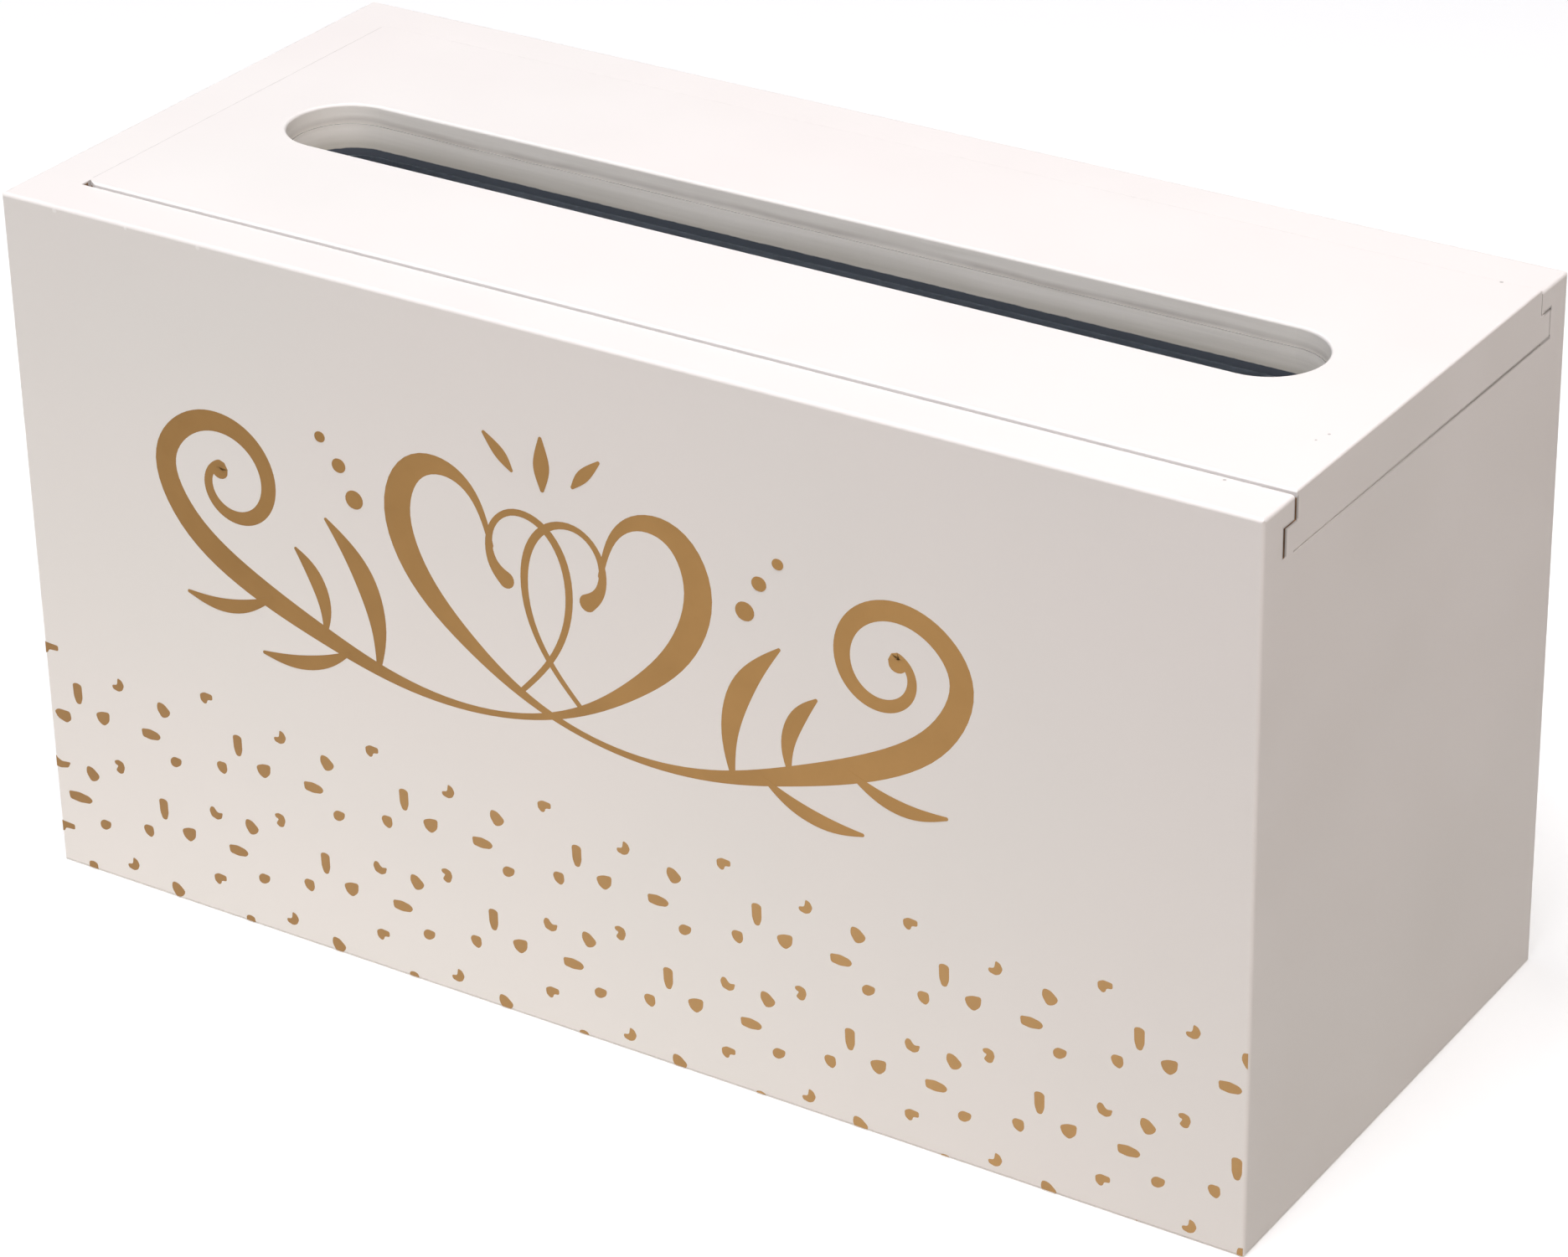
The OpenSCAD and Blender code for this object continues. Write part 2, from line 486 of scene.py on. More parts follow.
@dataclass(frozen=True)
class BoardPaint:
    """Satin white paint on fibreboard, cool and matt inside the box and bare in the grooves,
    with painted light and shade on the slot's wall, along the lid's gaps and on its edge.

    After the colours come how far each finish reaches, its noise, and its amounts. A skin
    is the stretch from a face over which a finish sets in.
    """

    white: Colour = (0.875, 0.835, 0.81)
    cool_white: Colour = (0.862, 0.838, 0.812)
    drip_white_and_gap_light: Colour = (0.96, 0.93, 0.91)
    # Painted light and painted shade of the slot's wall, from its top to its foot.
    slot_painted_light: Colour = (0.985, 0.945, 0.88)
    slot_painted_shade: Colour = (0.65, 0.615, 0.54)
    dust: Colour = (0.55, 0.52, 0.50)
    band_tone: Colour = (0.65, 0.605, 0.555)
    rim_painted_shade: Colour = (0.40, 0.38, 0.36)
    ledge_painted_shade: Colour = (0.212, 0.20, 0.19)
    seam_painted_shade: Colour = (0.14, 0.115, 0.10)
    inside: Colour = (0.73, 0.77, 0.82)
    foot_painted_shade: Colour = (0.082, 0.095, 0.117)
    fibre: Colour = (0.44, 0.27, 0.145)
    dark_fibre: Colour = (0.26, 0.155, 0.085)
    drips: tuple[Speck, ...] = ()
    specks: tuple[Speck, ...] = ()

    exact_reach: Reach = Reach()
    chamber_reach: Reach = Reach(0.15 * MM)
    groove_reach: Reach = Reach(0.12 * MM)
    core_reach: Reach = Reach(-0.1 * MM)
    mouth_reach: Reach = Reach(0.5 * MM)
    hole_reach: Reach = Reach(0.05 * MM, 0.025 * MM)
    seam_reach: Reach = Reach(0.25 * MM, 0.25 * MM)
    sill_reach: Reach = Reach(0.2 * MM, 0.2 * MM)
    slot_reach: Reach = Reach(0.3 * MM, 0.2 * MM)
    foot_reach: Reach = Reach(0.3 * MM, 0.1 * MM)
    rim_reach: Reach = Reach(0.05 * MM)

    patches: Pattern = Pattern(9.0, read=(0.35, 0.65))
    streaks: Pattern = Pattern(420.0, stretch=(0.04, 0.04, 1.0), read=(0.35, 0.65), give=(-0.16, 0.12))
    waver: Pattern = Pattern(28.0, stretch=(1.0, 1.0, 0.1), read=(0.3, 0.7), give=(-0.4 * MM, 0.4 * MM))
    band_patches: Pattern = Pattern(40.0, 3.0, 0.6, (1.0, 1.0, 0.1), read=(0.3, 0.65), give=(0.25, 0.8))
    grain: Pattern = Pattern(240.0, 5.0, 0.65, read=(0.3, 0.75))
    peel: Pattern = Pattern(520.0, 3.0, 0.55)
    roller: Pattern = Pattern(130.0, stretch=(0.35, 1.0, 1.0))
    ribs: Pattern = Pattern(900.0, 3.0, 0.6, (0.02, 0.02, 1.0))
    sheen: Pattern = Pattern(35.0, 3.0, read=(0.3, 0.7), give=(0.44, 0.54))

    drift_scale: float = 420.0
    drift: float = 0.3 * MM
    end_skin: Range = (-0.1 * MM, -0.05 * MM)
    lid_skin: Range = (0.01 * MM, 0.03 * MM)
    lit_below_ledge: float = 1.2 * MM
    ledge_tolerance: float = 0.004 * MM
    band_height: float = 0.9 * MM
    band_width: Range = (0.1 * MM, 1.1 * MM)
    rim_shade_share: float = 0.5
    seam_shade_share: float = 0.6
    peel_share: float = 0.6
    roller_share: float = 0.4
    matt_gain: float = 0.25
    bare_gain: float = 0.35
    relief_depth: float = 0.05 * MM
    specular: float = 0.4

    def material(self, plan: BoxPlan) -> bpy.types.Material:
        """Makes the paint.

        Args:
            plan: Where the chamber, the grooves and the card slot lie.

        Returns:
            The material, which suits every board of the box.
        """
        tree = Tree("board_paint")
        loose = self.wandering(tree)
        inner = tree.inside(loose, plan.chamber, self.chamber_reach)
        above_skin = tree.ramp(tree.along("Z"), *(plan.lid.low.z + skin for skin in self.lid_skin))
        foot = tree.inside(loose, plan.slot_foot, self.foot_reach)
        foot = tree.math("MULTIPLY", foot, above_skin)
        bare = self.bare_board(tree, plan, loose)
        in_slot = tree.inside(tree.place, plan.card_slot, self.slot_reach)
        grain = tree.noise(self.grain)

        colour = tree.mix(tree.noise(self.patches), self.white, self.cool_white)
        # The slot's wall, with its painted light and painted shade.
        colour = tree.mix(in_slot, colour, self.slot_wall(tree, plan))
        for marks, tint in ((self.drips, self.drip_white_and_gap_light), (self.specks, self.dust)):
            spotted = tree.strongest(tree.near(loose, mark) for mark in marks)
            colour = tree.mix(spotted, colour, tint)
        colour = tree.mix(tree.math("MULTIPLY", in_slot, self.band_above_ledge(tree, plan)), colour, self.band_tone)
        # Painted shade on the small ledge, which faces the light and would show too bright.
        ledge = tree.math("COMPARE", tree.along("Z"), plan.ledge_z, self.ledge_tolerance)
        colour = tree.mix(tree.math("MULTIPLY", in_slot, ledge), colour, self.ledge_painted_shade)
        # Painted light: the sides of the gap in front of the lid are painted whiter, so that the gap's shade
        # shows fainter.
        front_gap = tree.inside(tree.place, plan.front_gap, self.exact_reach)
        colour = tree.mix(front_gap, colour, self.drip_white_and_gap_light)
        # Painted shade along the lid's rounded upper edge at its closed end.
        left_rim = tree.inside(tree.place, plan.lid_left_rim, self.rim_reach)
        colour = tree.mix(tree.math("MULTIPLY", left_rim, self.rim_shade_share), colour, self.rim_painted_shade)
        # Painted shade along the gaps round the lid's outer end and along the sill line under it.
        seams = tree.math("MULTIPLY", self.shaded_seams(tree, plan), self.seam_shade_share)
        colour = tree.mix(seams, colour, self.seam_painted_shade)
        colour = tree.mix(inner, colour, self.inside)
        # Painted shade: the foot of the slot's wall is painted dark where the shaded inside shows past it.
        colour = tree.mix(foot, colour, self.foot_painted_shade)
        colour = tree.mix(bare, colour, tree.mix(grain, self.dark_fibre, self.fibre))

        matt = tree.math("MULTIPLY", tree.math("MAXIMUM", inner, foot), self.matt_gain)
        rough = tree.math("ADD", tree.noise(self.sheen), matt)
        rough = tree.math("ADD", rough, tree.math("MULTIPLY", bare, self.bare_gain), clamp=True)
        peel = tree.math("MULTIPLY", tree.noise(self.peel), self.peel_share)
        roller = tree.math("MULTIPLY", tree.noise(self.roller), self.roller_share)
        relief = tree.math("ADD", tree.math("ADD", peel, roller), tree.math("MULTIPLY", bare, grain))
        relief = tree.math("ADD", relief, tree.math("MULTIPLY", in_slot, tree.noise(self.ribs)))
        made = tree.shader(colour, rough, relief, self.relief_depth, Specular_IOR_Level=self.specular)
        return tree.finish(made)

    def wandering(self, tree: Tree) -> Socket:
        """Shifts the object's place a little to and fro, so that no edge of paint is straight."""
        noise = tree.node("ShaderNodeTexNoise")
        tree.feed(noise.inputs["Vector"], tree.place)
        noise.inputs["Scale"].default_value = self.drift_scale
        shift = tree.vector("SUBTRACT", noise.outputs["Color"], (0.5, 0.5, 0.5))
        shift = tree.vector("MULTIPLY", shift, (self.drift, self.drift, self.drift))
        return tree.vector("ADD", tree.place, shift)

    def bare_board(self, tree: Tree, plan: BoxPlan, loose: Socket) -> Socket:
        """Marks the bare board of the grooves, the tongue and the holes beside the lid.

        Args:
            tree: The node tree.
            plan: Where the grooves, the lid's core and the holes lie.
            loose: The place, with some wander in it.

        Returns:
            The socket that holds 1 on bare board and 0 on paint.
        """
        in_groove = tree.inside(loose, plan.grooves, self.groove_reach)
        for space, reach in ((plan.lid_core, self.core_reach), (plan.filled_gap, self.mouth_reach)):
            painted = tree.inside(loose, space, reach)
            in_groove = tree.math("MULTIPLY", in_groove, tree.math("SUBTRACT", 1.0, painted))
        spaces = (plan.end_slit, plan.corner_nick)
        holes = [tree.inside(tree.place, space, self.hole_reach) for space in spaces]
        end = plan.right.high.x
        behind_end = tree.ramp(tree.along("X"), *(end + skin for skin in self.end_skin), 1.0, 0.0)
        return tree.math("MULTIPLY", tree.strongest([in_groove, *holes]), behind_end)

    def shaded_seams(self, tree: Tree, plan: BoxPlan) -> Socket:
        """Marks the painted shade along the seams at the outer end and along the sill line, which is darker
        towards the back.

        Args:
            tree: The node tree.
            plan: Where the seams lie.

        Returns:
            The socket that holds the mark's strength.
        """
        seams = [tree.inside(tree.place, line, self.seam_reach) for line in plan.end_seams]
        sill = tree.inside(tree.place, plan.sill_line, self.sill_reach)
        backward = tree.ramp(tree.along("Y"), plan.front.high.y, plan.back.low.y / 2)
        return tree.strongest([*seams, tree.math("MULTIPLY", sill, backward)])

    def slot_wall(self, tree: Tree, plan: BoxPlan) -> Socket:
        """Tints the slot's wall with painted light towards the top and painted shade towards the foot, and
        streaks it along its length.

        Args:
            tree: The node tree.
            plan: Where the card slot lies.

        Returns:
            The socket that holds the colour.
        """
        top = plan.ledge_z - self.lit_below_ledge
        # Painted light and shade: painted shade at the foot, painted light near the top.
        lit = tree.ramp(tree.along("Z"), plan.slot_foot.high.z, top)
        lit = tree.math("ADD", lit, tree.noise(self.streaks), clamp=True)
        return tree.mix(lit, self.slot_painted_shade, self.slot_painted_light)

    def band_above_ledge(self, tree: Tree, plan: BoxPlan) -> Socket:
        """Marks a darker band along the slot's wall, above the ledge.

        Args:
            tree: The node tree.
            plan: Where the card slot lies.

        Returns:
            The socket that holds the mark's strength.
        """
        height = tree.math("ADD", tree.along("Z"), tree.noise(self.waver))
        off = tree.math("SUBTRACT", height, plan.ledge_z + self.band_height)
        line = tree.ramp(tree.math("ABSOLUTE", off), *self.band_width, 1.0, 0.0)
        return tree.math("MULTIPLY", line, tree.noise(self.band_patches))


@dataclass(frozen=True)
class GoldInk:
    """Flat metallic ink of the print, a little uneven where it was pressed on.

    It is painted lighter towards the right-hand end, a painted sheen. Its lightness is the
    weighted sum of that sheen along X, of clouds and of fine flakes.
    """

    name: str = "gold_ink"
    full: Colour = (0.28, 0.146, 0.037)
    thin: Colour = (0.476, 0.265, 0.084)
    painted_sheen_x: Range = (-0.13, 0.06)
    cloud: Pattern = Pattern(60.0, 4.0, 0.6, read=(0.3, 0.7))
    flake: Pattern = Pattern(2600.0, 2.0, 0.6)
    painted_sheen_share: float = 0.55
    cloud_share: float = 0.25
    flake_share: float = 0.2
    read: Range = (0.3, 0.7)
    sheen: Range = (0.42, 0.58)
    relief_depth: float = 0.01 * MM
    metallic: float = 0.25
    specular: float = 0.3

    def material(self) -> bpy.types.Material:
        """Makes the ink."""
        tree = Tree(self.name)
        flake = tree.noise(self.flake)
        # Painted sheen: the ink is painted lighter towards the right-hand end.
        fade = tree.math("MULTIPLY", tree.ramp(tree.along("X"), *self.painted_sheen_x), self.painted_sheen_share)
        cloud = tree.math("MULTIPLY", tree.noise(self.cloud), self.cloud_share)
        thinness_and_sheen = tree.math("ADD", fade, cloud)
        thinness_and_sheen = tree.math("ADD", thinness_and_sheen, tree.math("MULTIPLY", flake, self.flake_share))
        made = tree.shader(
            tree.mix(thinness_and_sheen, self.full, self.thin),
            tree.ramp(flake, *self.read, *self.sheen),
            flake,
            self.relief_depth,
            Metallic=self.metallic,
            Specular_IOR_Level=self.specular,
        )
        return tree.finish(made)


@dataclass(frozen=True)
class BradWire:
    """Bright drawn steel wire of the brads."""

    steel: Colour = (0.55, 0.55, 0.54)
    dull: Colour = (0.38, 0.38, 0.38)
    drawn: Pattern = Pattern(900.0, 3.0, 0.6)
    read: Range = (0.3, 0.7)
    sheen: Range = (0.25, 0.45)
    relief_depth: float = 0.02 * MM

    def material(self) -> bpy.types.Material:
        """Makes the wire's steel."""
        tree = Tree("bright_steel")
        drawn = tree.noise(self.drawn)
        colour = tree.mix(tree.ramp(drawn, *self.read), self.steel, self.dull)
        rough = tree.ramp(drawn, *self.read, *self.sheen)
        return tree.finish(tree.shader(colour, rough, drawn, self.relief_depth, Metallic=1.0))


@dataclass(frozen=True)
class StudioFloor:
    """Matt white paper under the box, which glows a little so that shadows stay faint.

    It glows more far away, where the lights hardly reach, and it is clear from below.
    """

    paper: Colour = (0.97, 0.98, 0.98)
    glow: float = 0.115
    far_glow: float = 0.9
    far: Range = (0.6, 3.0)
    fibres: Pattern = Pattern(300.0)
    relief_depth: float = 0.02 * MM
    roughness: float = 0.85
    specular: float = 0.15

    def material(self) -> bpy.types.Material:
        """Makes the paper."""
        tree = Tree("studio_floor")
        fibres = tree.noise(self.fibres)
        paper = tree.shader(
            self.paper, self.roughness, fibres, self.relief_depth, Specular_IOR_Level=self.specular
        )
        away = tree.node("ShaderNodeVectorMath", operation="LENGTH")
        tree.feed(away.inputs[0], tree.place)
        glow = tree.ramp(away.outputs["Value"], *self.far, self.glow, self.far_glow)
        tree.feed(paper.inputs["Emission Color"], self.paper)
        tree.feed(paper.inputs["Emission Strength"], glow)
        under = tree.node("ShaderNodeNewGeometry").outputs["Backfacing"]
        clear = tree.node("ShaderNodeBsdfTransparent").outputs["BSDF"]
        two_sided = tree.node("ShaderNodeMixShader")
        for socket, value in zip(two_sided.inputs, (under, paper.outputs["BSDF"], clear)):
            tree.feed(socket, value)
        return tree.finish(two_sided)


# ---- print ----


class Knot(NamedTuple):
    """A control point of a stroke: place on the print, and width of the pen."""

    across: float
    up: float
    width: float


class Curl(NamedTuple):
    """A spiral at the end of a stroke, in millimetres and degrees."""

    across: float
    up: float
    radius: float
    end_radius: float
    start: float
    turn: float
    width: float
    end_width: float

    def knots(self, spacing: float = 33.0) -> list[Knot]:
        """Control points along the spiral, about as many degrees apart as the spacing says."""
        count = round(abs(self.turn) / spacing)
        made = []
        for step in range(count + 1):
            part = step / count
            radius = self.radius * (self.end_radius / self.radius) ** part
            angle = math.radians(self.start + self.turn * part)
            width = self.width + (self.end_width - self.width) * part
            across = self.across + radius * math.cos(angle)
            made.append(Knot(across, self.up + radius * math.sin(angle), width))
        return made


@dataclass
class Pen:
    """Draws strokes of ink on the front of the box, as thin solids.

    A stroke is a smooth curve near its knots. The nib is an edge laid across the
    curve, and it is extruded from station to station, as wide as the knots say.
    """

    face_y: float
    steps: int = 6
    apart_mm: float = 0.12
    ink_mm: float = 0.3
    proud_mm: float = 0.015
    climb_mm: float = 0.008
    cap_stations: int = 4
    layer_mm: float = 0.0

    def curve(self, knots: Sequence[Knot]) -> list[Vector]:
        """Samples the smooth curve of a stroke, which is a uniform cubic B-spline.

        Args:
            knots: The stroke's control points.

        Returns:
            Points along the curve: across, up and the pen's width there.
        """
        held = [Vector(knots[0])] * 2 + [Vector(k) for k in knots] + [Vector(knots[-1])] * 2
        points: list[Vector] = []
        for first, second, third, fourth in zip(held, held[1:], held[2:], held[3:]):
            for step in range(self.steps):
                t = step / self.steps
                point = first * (1 - t) ** 3 + second * (3 * t**3 - 6 * t**2 + 4)
                point += third * (1 + 3 * t + 3 * t**2 - 3 * t**3)
                point += fourth * t**3
                points.append(point / 6)
        points.append(held[-1])
        spread = [points[0]]
        for point in points[1:]:
            if (point - spread[-1]).xy.length > self.apart_mm:
                spread.append(point)
        return spread

    def stations(self, knots: Sequence[Knot]) -> list[tuple[Vector, Vector, float]]:
        """Places the nib along a stroke, with a round cap at both ends.

        Args:
            knots: The stroke's control points.

        Returns:
            For each station its place, its heading and half of the nib's width.
        """
        points = self.curve(knots)
        line: list[tuple[Vector, Vector, float]] = []
        for index, point in enumerate(points):
            before = points[max(0, index - 1)]
            after = points[min(len(points) - 1, index + 1)]
            line.append((point.xy, (after - before).xy.normalized(), point.z / 2))
        last = self.cap_stations + 0.5
        angles = [math.pi / 2 * (k + 0.5) / last for k in range(self.cap_stations)]
        cap = [(math.cos(angle), math.sin(angle)) for angle in angles]
        place, heading, half = line[0]
        start = [(place - heading * half * out, heading, half * wide) for out, wide in cap]
        place, heading, half = line[-1]
        end = [(place + heading * half * out, heading, half * wide) for out, wide in reversed(cap)]
        return start + line + end

    def nib(self, place: Vector, heading: Vector, half: float, lift: float) -> Matrix:
        """Sets the nib on the front of the box.

        Args:
            place: Its place, across and up.
            heading: The way it moves.
            half: Half of its width.
            lift: Its height over the board.

        Returns:
            The matrix that takes an edge from -1 to 1 along Z to the nib's place.
        """
        at = Vector((place.x * MM, self.face_y - lift * MM, place.y * MM))
        turn = Matrix.Rotation(-math.atan2(heading.y, heading.x), 4, "Y")
        return Matrix.Translation(at) @ turn @ Matrix.Diagonal((half * MM, half * MM, half * MM, 1))

    def draw(self, mesh: bmesh.types.BMesh, knots: Sequence[Knot]) -> None:
        """Draws one stroke.

        Args:
            mesh: The mesh that the stroke is added to.
            knots: The stroke's control points, in millimetres on the front.
        """
        stations = self.stations(knots)
        base = self.layer_mm + self.proud_mm
        places = [
            self.nib(place, heading, half, base + self.climb_mm * index / len(stations))
            for index, (place, heading, half) in enumerate(stations)
        ]
        low, high = (mesh.verts.new(places[0] @ Vector((0, 0, side))) for side in (-1, 1))
        edge = mesh.edges.new((low, high))
        faces: list[bmesh.types.BMFace] = []
        for before, after in zip(places, places[1:]):
            made = bmesh.ops.extrude_edge_only(mesh, edges=[edge])["geom"]
            verts = [item for item in made if isinstance(item, bmesh.types.BMVert)]
            edges = [item for item in made if isinstance(item, bmesh.types.BMEdge)]
            edge = next(item for item in edges if set(item.verts) == set(verts))
            bmesh.ops.transform(mesh, matrix=after @ before.inverted(), verts=verts)
            faces += [item for item in made if isinstance(item, bmesh.types.BMFace)]
        self.sink(mesh, faces)

    def blot(self, mesh: bmesh.types.BMesh, corners: Sequence[Vector], rounding: float) -> None:
        """Presses one solid dab.

        Args:
            mesh: The mesh that the dab is added to.
            corners: The corners of its outline, across and up.
            rounding: How far each corner is rounded along its sides.
        """
        height = self.face_y - (self.layer_mm + self.proud_mm) * MM
        outline = [mesh.verts.new((c.x * MM, height, c.y * MM)) for c in corners]
        mesh.faces.new(outline)
        rounded = bmesh.ops.bevel(
            mesh, geom=outline, offset=rounding * MM, offset_type="OFFSET", affect="VERTICES",
            segments=2, profile=0.5, material=-1, clamp_overlap=True,
        )
        faces = {face for vert in rounded["verts"] for face in vert.link_faces}
        self.sink(mesh, list(faces))

    def sink(self, mesh: bmesh.types.BMesh, faces: list[bmesh.types.BMFace]) -> None:
        """Gives flat ink its thickness, down into the board."""
        under = bmesh.ops.extrude_face_region(mesh, geom=faces)["geom"]
        under_verts = [item for item in under if isinstance(item, bmesh.types.BMVert)]
        bmesh.ops.translate(mesh, vec=(0, self.ink_mm * MM, 0), verts=under_verts)


class Blot(NamedTuple):
    """A solid dab: how far its corners are rounded, and its outline."""

    rounding: float
    corners: tuple[tuple[float, float], ...]


class Dab(Enum):
    """The kinds of loose dab in the band, in millimetres from the dab's middle."""

    TALL = Blot(
        0.45, ((-1.2, 2.3), (0, 2.7), (1.2, 2.3), (1.2, -0.9), (0.6, -2.6), (-0.5, -2.6), (-1.1, -0.9))
    )
    WIDE = Blot(
        0.45, ((-2.6, 0.9), (-2.4, -1.0), (-0.2, -1.3), (2.1, -0.9), (2.8, 0.1), (2.0, 0.9), (-0.2, 1.3))
    )
    DROP = Blot(0.6, ((-1.5, 1.9), (0.2, 1.8), (2.1, 0.1), (1.2, -1.3), (-0.5, -1.9), (-1.8, 0.1)))
    WEDGE = Blot(0.6, ((2.0, 1.8), (1.8, -0.5), (0.2, -2.0), (-1.4, -1.1), (-2.0, 0.7), (-0.2, 1.6)))
    SEED = Blot(0.5, ((-1.5, 0.5), (-0.8, 1.4), (1.3, 1.4), (1.5, -0.5), (0.6, -1.7), (-0.9, -1.0)))
    PIP = Blot(0.5, ((-1.6, 0.3), (-0.5, 1.3), (1.7, 1.1), (1.4, -0.4), (-0.1, -1.4), (-1.4, -1.1)))
    HOOK = Blot(
        0.35,
        (
            (1.7, 1.2), (-0.5, 1.4), (-1.7, 0.7), (-1.6, -0.7),
            (-0.6, -1.5), (0.1, -1.2), (0.3, -0.3), (1.7, -0.1),
        ),
    )
    CRESCENT = Blot(
        0.35,
        (
            (0.0, 1.7), (1.1, 1.3), (1.7, 0.1), (1.1, -1.2), (0.0, -1.7),
            (-1.5, -1.3), (-1.7, -0.4), (-0.3, -0.1), (-0.1, 0.8),
        ),
    )
    COMMA = Blot(
        0.35,
        (
            (-1.4, 1.2), (-0.2, 1.7), (1.1, 1.3), (1.5, 0.1), (0.9, -1.5),
            (-0.1, -1.8), (-1.1, -1.1), (-0.3, 0.2), (-1.2, 0.4),
        ),
    )
    CUP = Blot(
        0.35,
        (
            (-0.4, 1.4), (-1.3, 1.4), (-1.8, 0.3), (-1.3, -1.1), (0.3, -1.6),
            (1.5, -1.0), (1.9, 0.5), (0.6, 0.2), (0.0, 0.7),
        ),
    )


@dataclass
class ConfettiBand:
    """The band of loose gold dabs along the bottom of the front.

    The print runs a little downhill to the right, and its dabs are smeared wider
    next to the left-hand end of the board.
    """

    plan: BoxPlan
    pen: Pen
    pitch_mm: tuple[float, float] = (44.55, 45.3)
    downhill: float = 0.0063
    smear_mm: float = 9.0
    below_mm: float = -3.0
    edge_mm: float = 0.35
    tile: tuple[tuple[Dab, float, float], ...] = (
        (Dab.HOOK, 0.7, 54.2), (Dab.CRESCENT, 20.4, 50.4), (Dab.DROP, 32.8, 47.5), (Dab.TALL, 8.5, 44.8),
        (Dab.WEDGE, 15.2, 40.6), (Dab.WIDE, 28.7, 40.4), (Dab.SEED, 3.6, 38.0), (Dab.PIP, 35.2, 35.4),
        (Dab.COMMA, 18.8, 29.4), (Dab.CUP, 0.9, 25.7), (Dab.DROP, 10.7, 25.0), (Dab.TALL, 30.6, 22.2),
        (Dab.WIDE, 6.5, 17.9), (Dab.WEDGE, 37.3, 17.9), (Dab.SEED, 25.7, 15.3), (Dab.PIP, 13.2, 12.9),
    )

    def build(self) -> bpy.types.Object:
        """Draws every dab of the band and trims the band at the board's edges.

        Returns:
            The band, as one object.
        """
        mesh = bmesh.new()
        length_mm = self.plan.front.half.x * 2 / MM
        columns = math.ceil(length_mm / self.pitch_mm[0])
        for column in range(-1, columns + 1):
            for row in (0, -1):
                for dab, across, up in self.tile:
                    across_mm = across + column * self.pitch_mm[0]
                    up_mm = up + row * self.pitch_mm[1] - self.downhill * across_mm
                    smear = 1 + max(0.0, 1 - abs(across_mm) / self.smear_mm)
                    if up_mm > self.below_mm:
                        self.place(mesh, dab, Vector((across_mm - length_mm / 2, up_mm)), smear)
        self.trim(mesh)
        return finished("confetti_band", mesh)

    def place(self, mesh: bmesh.types.BMesh, dab: Dab, at: Vector, smear: float) -> None:
        """Adds one dab.

        Args:
            mesh: The mesh that the dab is added to.
            dab: The kind of dab.
            at: Its middle on the front.
            smear: How many times wider than its own shape it is.
        """
        corners = [at + Vector((across * smear, up)) for across, up in dab.value.corners]
        self.pen.blot(mesh, corners, dab.value.rounding)

    def trim(self, mesh: bmesh.types.BMesh) -> None:
        """Cuts the band off at the board's two ends and at its bottom edge."""
        inset = Vector((1, 0, 1)) * self.edge_mm * MM
        low, high = self.plan.front.low + inset, self.plan.front.high - inset
        for place, outward in ((low, (-1, 0, 0)), (high, (1, 0, 0)), (low, (0, 0, -1))):
            geometry = [*mesh.verts, *mesh.edges, *mesh.faces]
            bmesh.ops.bisect_plane(mesh, geom=geometry, plane_co=place, plane_no=outward, clear_outer=True)
            rim = [edge for edge in mesh.edges if edge.is_boundary]
            bmesh.ops.holes_fill(mesh, edges=rim, sides=0)


